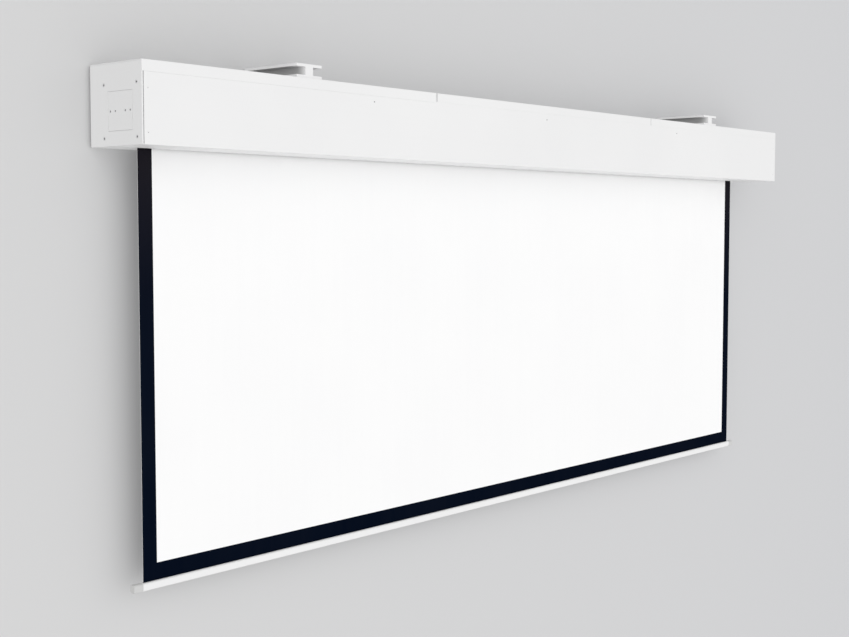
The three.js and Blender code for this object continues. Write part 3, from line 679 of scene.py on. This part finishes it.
def bareAndShadeTheEnds():
    for part, ways in bareShadedEnds.items():
        piece = soft[part]
        piece.data.materials.append(bareEndShade)
        low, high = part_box(part)
        for way in ways:
            end = low.x if way < 0 else high.x

            def atEnd(centre, normal):
                return normal.x * way > facing and abs(centre.x - end) < cutReach

            # painted shade: the cut end faces get the dark bare-end finish
            paintFaces(piece, 1, atEnd)


bareAndShadeTheEnds()


# Arms: painted shade between the flanges, darker deeper in

armShadePaint = {"flange": 0.009, "margin": 0.001, "front": 0.0015, "across": 0.7}


def paintArmShade():
    for side in ("left", "right"):
        arm = soft["arm_" + side]
        arm.data.materials.append(recessShadeMaterial)
        low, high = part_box("arm_" + side)
        inset = armShadePaint["flange"] - armShadePaint["margin"]

        def inRecess(centre, normal):
            between = low.z + inset < centre.z < high.z - inset
            sideways = abs(normal.y) < armShadePaint["across"]
            return between and sideways and centre.y > low.y + armShadePaint["front"]

        # the faces between the flanges get the painted shade
        paintFaces(arm, 1, inRecess)


paintArmShade()


# Sheet: white surface and black side borders in one cloth, and the border strip on the bar

sheetCut = {"border": 0.0525, "thickness": 0.0011, "cuts": 23, "hemCuts": 11}


def clothPanel(name, left, right, bottom, top, middleY, cuts):
    place = ((left + right) / 2, middleY, (bottom + top) / 2)
    bpy.ops.mesh.primitive_plane_add(size=1, location=place, rotation=(math.pi / 2, 0, 0))
    panel = bpy.context.object
    panel.scale = (right - left, top - bottom, 1)
    settle(panel, name)
    bpy.ops.object.mode_set(mode="EDIT")
    bpy.ops.mesh.select_all(action="SELECT")
    bpy.ops.mesh.subdivide(number_cuts=cuts)
    leaveEdit()
    return panel


def makeSheet():
    low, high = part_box("projection_surface")
    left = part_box("side_border_left")[0].x
    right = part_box("side_border_right")[1].x
    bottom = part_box("bottom_border")[1].z
    middleY = (low.y + high.y) / 2
    sheet = clothPanel("screen_sheet", left, right, bottom, high.z, middleY, sheetCut["cuts"])
    for x in (left + sheetCut["border"], right - sheetCut["border"]):
        bpy.ops.object.mode_set(mode="EDIT")
        bpy.ops.mesh.select_all(action="SELECT")
        bpy.ops.mesh.bisect(plane_co=(x, 0, 0), plane_no=(1, 0, 0))
        leaveEdit()
    black = finishes["black_fabric"]
    white = finishes["white_fabric"]
    dress(sheet, "case", "white_fabric", white, black, backing, backing, white, white)
    for face in sheet.data.polygons:
        inside = left + sheetCut["border"] < face.center.x < right - sheetCut["border"]
        face.material_index = 0 if inside else 1
    modify(sheet, "SOLIDIFY", thickness=sheetCut["thickness"], offset=0, material_offset=2,
           material_offset_rim=4)
    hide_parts("projection_surface", "side_border_left", "side_border_right")
    drop = high.z - bottom
    lift = next(joint for joint in frame["joints"] if joint["name"] == "screen_lift")
    travel = lift["range_m"][1]
    1 - travel / drop
    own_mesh(sheet)


def makeHem():
    low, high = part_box("bottom_border")
    middleY = (low.y + high.y) / 2
    hem = clothPanel("screen_hem", low.x, high.x, low.z, high.z, middleY, sheetCut["hemCuts"])
    black = finishes["black_fabric"]
    dress(hem, "bar", "black_fabric", black, backing, finishes["white_fabric"])
    modify(hem, "SOLIDIFY", thickness=sheetCut["thickness"], offset=0, material_offset=1,
           material_offset_rim=2)
    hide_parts("bottom_border")


windings = {"sides": 96, "thickness": 0.0013, "groove": 0.00035, "sunk": -0.0003, "raised": 0.0002}


def makeRoll():
    low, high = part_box("wound_fabric")
    radius = (high.z - low.z) / 2
    middle = (low + high) / 2
    bpy.ops.mesh.primitive_cylinder_add(vertices=windings["sides"], radius=radius,
                                        depth=high.x - low.x, end_fill_type="NOTHING",
                                        location=middle, rotation=(0, math.pi / 2, 0))
    roll = settle(bpy.context.object, "screen_roll")
    dress(roll, "roller", "black_fabric", backing)
    modify(roll, "SOLIDIFY", thickness=windings["thickness"], offset=-1)
    for step in (windings["sunk"], windings["raised"]):  # the turns show as grooves in the ends
        pick(roll, lambda centre, normal: abs(normal.x) > facing)
        bpy.ops.mesh.inset(thickness=windings["groove"], depth=step)
        leaveEdit()
    smooth(roll)
    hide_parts("wound_fabric")


makeSheet()
makeHem()
makeRoll()
print("sheet, hem and roll made")


# Screws: each kind is modelled once about +Z and copied to its places

# "socket" is the hexagon's reach, and "rounded" the edge's share of the head's height
screwKinds = {
    "panel": {"radius": 0.0040, "height": 0.0016, "socket": 0.0021, "rounded": 0.6},
    "front": {"radius": 0.0030, "height": 0.0012, "socket": 0.0011, "rounded": 0.6},
    "inset": {"radius": 0.0028, "height": 0.0012, "socket": 0.0015, "rounded": 0.6},
    "corner": {"radius": 0.0050, "height": 0.0030, "socket": 0.0023, "rounded": 0.25},
    "wall": {"radius": 0.0070, "height": 0.0036, "socket": 0.0030, "rounded": 0.6},
}
shanks = {  # radius and length
    "panel": (0.0020, 0.0122),
    "front": (0.0015, 0.0090),
    "corner": (0.0030, 0.0164),
}
screwMake = {"sides": 32, "shankSides": 24, "socketDeep": 0.6, "edgeSteps": 4, "skin": 0.00001}


def screwHead(kind):
    size = screwKinds[kind]
    height = size["height"]
    bpy.ops.mesh.primitive_cylinder_add(vertices=screwMake["sides"], radius=size["radius"],
                                        depth=height, location=(0, 0, height / 2))
    head = settle(bpy.context.object, "screw_head_" + kind)
    pick(head, lambda a, b: min(a.z, b.z) > height / 2, "EDGE")
    bpy.ops.mesh.bevel(offset=height * size["rounded"], segments=screwMake["edgeSteps"],
                       affect="EDGES")
    leaveEdit()
    if kind in shanks:
        radius, length = shanks[kind]
        bpy.ops.mesh.primitive_cylinder_add(vertices=screwMake["shankSides"], radius=radius,
                                            depth=length + height / 2,
                                            location=(0, 0, height / 4 - length / 2))
        shank = settle(bpy.context.object, "screw_shank")
        modify(head, "BOOLEAN", operation="UNION", object=shank, solver="EXACT")
        bpy.data.objects.remove(shank)
    socketDepth = height * screwMake["socketDeep"]
    bpy.ops.mesh.primitive_cylinder_add(vertices=6, radius=size["socket"], depth=socketDepth * 2,
                                        location=(0, 0, height))
    cutter = settle(bpy.context.object, "socket_cutter")
    modify(head, "BOOLEAN", operation="DIFFERENCE", object=cutter, solver="EXACT")
    bpy.data.objects.remove(cutter)
    smooth(head)

    def inSocket(centre, normal):
        skin = screwMake["skin"]
        deep = height - socketDepth - skin < centre.z < height - skin
        return deep and math.hypot(centre.x, centre.y) < size["socket"]

    # painted shade inside the hex socket
    paintFaces(head, 1, inSocket)
    return head


def copyScrew(head, name, at, outward, body, slot, spin, finish=None):
    copy = addPiece(name, head.data.copy())
    turn = Vector((0, 0, 1)).rotation_difference(Vector(outward)).to_matrix().to_4x4()
    copy.data.transform(Matrix.Translation(at) @ turn @ Matrix.Rotation(spin, 4, "Z"))
    return dress(copy, body, slot, finish or finishes[slot], socketShade)


coverScrews = {"spin": 0.7}
cornerScrews = {"spin": 0.2}
endScrews = {"fromEnd": 0.0212, "fromTop": (0.0782, 0.2038), "spin": 0.4}
wallScrews = {"offset": 0.034, "spin": 1.0}
forward = (0, -1, 0)


def replaceScrew(head, part, at, outward, spin, finish=None):  # a CAD screw gives way to a copy
    body = bodyOf[part]
    slot = slotOf[part]
    screw = copyScrew(head, part + "_fine", at, outward, body, slot, spin, finish)
    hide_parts(part)


def copyCoverScrews(head):  # the three that stand on the front at the ribs
    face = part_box("front_cover")[0].y
    for place in ("left", "middle", "right"):
        part = "cover_screw_" + place
        low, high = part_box(part)
        at = ((low.x + high.x) / 2, face, (low.z + high.z) / 2)
        replaceScrew(head, part, at, forward, coverScrews["spin"])


def copyCornerScrews(head):
    for part in [part for part in nodes if part.startswith("end_screw_")]:
        low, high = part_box(part)
        way = -1 if high.x < 0 else 1
        face = low.x if way < 0 else high.x
        x = face - way * screwKinds["corner"]["height"]
        at = (x, (low.y + high.y) / 2, (low.z + high.z) / 2)
        replaceScrew(head, part, at, (way, 0, 0), cornerScrews["spin"] * len(part), paleSteel)


def copyEndScrews(head, end, x, inward):  # two near each end of the front cover
    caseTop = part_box("top_cover")[1].z
    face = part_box("front_cover")[0].y
    for row, drop in zip(("upper", "lower"), endScrews["fromTop"]):
        name = f"front_screw_{end}_{row}"
        at = (x + inward * endScrews["fromEnd"], face, caseTop - drop)
        copyScrew(head, name, at, forward, "case", "white_paint", endScrews["spin"])


def copyInsetScrews(head, end, x, inward):
    low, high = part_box("bearing_plate" if end == "left" else "motor_plate")
    middle = (low + high) / 2
    for number, offset in enumerate(insetScrews["offsets"], 1):
        name = f"inset_screw_{end}_{number}"
        at = Vector((x, middle.y + offset, middle.z))
        at.x += inward * insetScrews["sink"]
        spin = insetScrews["spin"] * number
        copyScrew(head, name, at, (-inward, 0, 0), "case", "zinc_steel", spin, dulledSteel)


def copyWallScrews(head, end, inward):
    low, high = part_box(f"wall_plate_{end}")
    middle = (low + high) / 2
    for side, sign in (("inner", inward), ("outer", -inward)):
        name = f"wall_screw_{end}_{side}"
        at = (middle.x + sign * wallScrews["offset"], low.y, middle.z)
        copyScrew(head, name, at, forward, "case", "zinc_steel", wallScrews["spin"] * sign)


def makeScrews():
    heads = {kind: screwHead(kind) for kind in screwKinds}
    copyCoverScrews(heads["panel"])
    copyCornerScrews(heads["corner"])
    ends = {"left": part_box("end_plate_left")[0].x, "right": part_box("end_plate_right")[1].x}
    for end, x in ends.items():
        inward = 1 if end == "left" else -1
        copyEndScrews(heads["front"], end, x, inward)
        copyInsetScrews(heads["inset"], end, x, inward)
        copyWallScrews(heads["wall"], end, inward)
    for head in heads.values():
        bpy.data.objects.remove(head)


makeScrews()
print("small screws placed")


# Stage: a wall right behind the case and a floor well below it, in one sweep

stage = {
    "gap": 0.0006,
    "floor": -3.4,
    "width": 60.0,
    "depth": 30.0,
    "height": 18.0,
    "cove": 0.4,
    "coveSteps": 16,
    "tone": (0.674, 0.674, 0.676),
    "toneRight": (0.637, 0.640, 0.652),
    "toneFrom": -2.5,
    "toneTo": 3.5,
    "floorTone": (0.86, 0.86, 0.86),
    "floorGlow": 0.45,
}


def makeStage():
    place = (0, stage["gap"] - stage["depth"] / 2, stage["floor"])
    bpy.ops.mesh.primitive_plane_add(size=1, location=place)
    sweep = bpy.context.object
    sweep.scale = (stage["width"], stage["depth"], 1)
    settle(sweep, "studio_sweep")
    pick(sweep, lambda a, b: min(a.y, b.y) > 0, "EDGE")
    bpy.ops.mesh.extrude_region_move(TRANSFORM_OT_translate={"value": (0, 0, stage["height"])})
    leaveEdit()
    pick(sweep, lambda a, b: min(a.y, b.y) > 0 and max(a.z, b.z) < stage["floor"] + near, "EDGE")
    bpy.ops.mesh.bevel(offset=stage["cove"], segments=stage["coveSteps"], affect="EDGES")
    leaveEdit()
    smooth(sweep)
    sweep.data.materials.append(sweepFinish())
    sweep.visible_diffuse = False
    sweep.visible_glossy = False
    sweep.visible_transmission = False
    sweep.visible_shadow = False


def sweepFinish():  # the floor paler than the wall, and both clear from behind
    finish = Finish("studio_sweep")
    across = finish.between(finish.axis(finish.place, "X"), stage["toneFrom"], stage["toneTo"])
    shade = finish.blend(across, stage["tone"], stage["toneRight"])
    lying = finish.axis(finish.node("ShaderNodeNewGeometry", output="Normal"), "Z")
    flat = lying * lying * lying
    shade = finish.blend(flat, shade, stage["floorTone"])
    lit = finish.node("ShaderNodeBsdfDiffuse", None, {"Color": shade})
    glow = finish.node("ShaderNodeEmission", None, {"Color": colour(stage["floorTone"])})
    lit = finish.node("ShaderNodeMixShader", None, {0: flat * stage["floorGlow"], 1: lit, 2: glow})
    behind = finish.node("ShaderNodeNewGeometry", output="Backfacing")
    clear = finish.node("ShaderNodeBsdfTransparent")
    finish.end(finish.node("ShaderNodeMixShader", None, {0: behind, 1: lit, 2: clear}))
    return finish.material


# Light: a pale sky, weaker above, below and behind, and one soft lamp from the front left

skyLight = {
    "level": 0.975,
    "fallAbove": 0.556,
    "fallBelow": 0.270,
    "fallBehind": 0.370,
    "edge": 0.05,
    "horizon": 0.655,
}

softKey = {"place": (-1.00, -1.0, 0.15), "distance": 4.0, "strength": 0.600, "width": 84.0}


def makeSky():
    sky = Sky("studio")
    height = sky.axis(sky.place, "Z")
    depth = sky.axis(sky.place, "Y")
    above = sky.node("ShaderNodeMath", {"operation": "MAXIMUM"}, {0: height, 1: 0.0})
    below = sky.node("ShaderNodeMath", {"operation": "MINIMUM"}, {0: height, 1: 0.0})
    behind = sky.between(depth, -skyLight["edge"], skyLight["edge"])
    level = skyLight["level"] - above * above * skyLight["fallAbove"]
    level = level - below * below * skyLight["fallBelow"]
    level = level - behind * skyLight["fallBehind"]
    seen = 0.0  # past the floor's end the sky looks like the floor, also in metal
    for ray in ("Is Camera Ray", "Is Glossy Ray", "Is Transmission Ray"):
        seen = seen + sky.node("ShaderNodeLightPath", output=ray)
    seen = sky.node("ShaderNodeMath", {"operation": "MINIMUM"}, {0: seen, 1: 1.0})
    level = level * (1 - seen) + seen * skyLight["horizon"]
    white = {"Color": (1, 1, 1, 1), "Strength": level}
    sky.end(sky.node("ShaderNodeBackground", None, white), "ShaderNodeOutputWorld")
    bpy.context.scene.world = sky.world


def makeLamp():
    place = [softKey["distance"] * c for c in softKey["place"]]
    bpy.ops.object.light_add(type="SUN", location=place)
    lamp = bpy.context.object
    lamp.name = "soft_key"
    lamp.rotation_euler = Vector(place).to_track_quat("Z", "Y").to_euler()
    lamp.data.energy = softKey["strength"]
    lamp.data.angle = math.radians(softKey["width"])


makeStage()
makeSky()
makeLamp()
print("stage and light set")
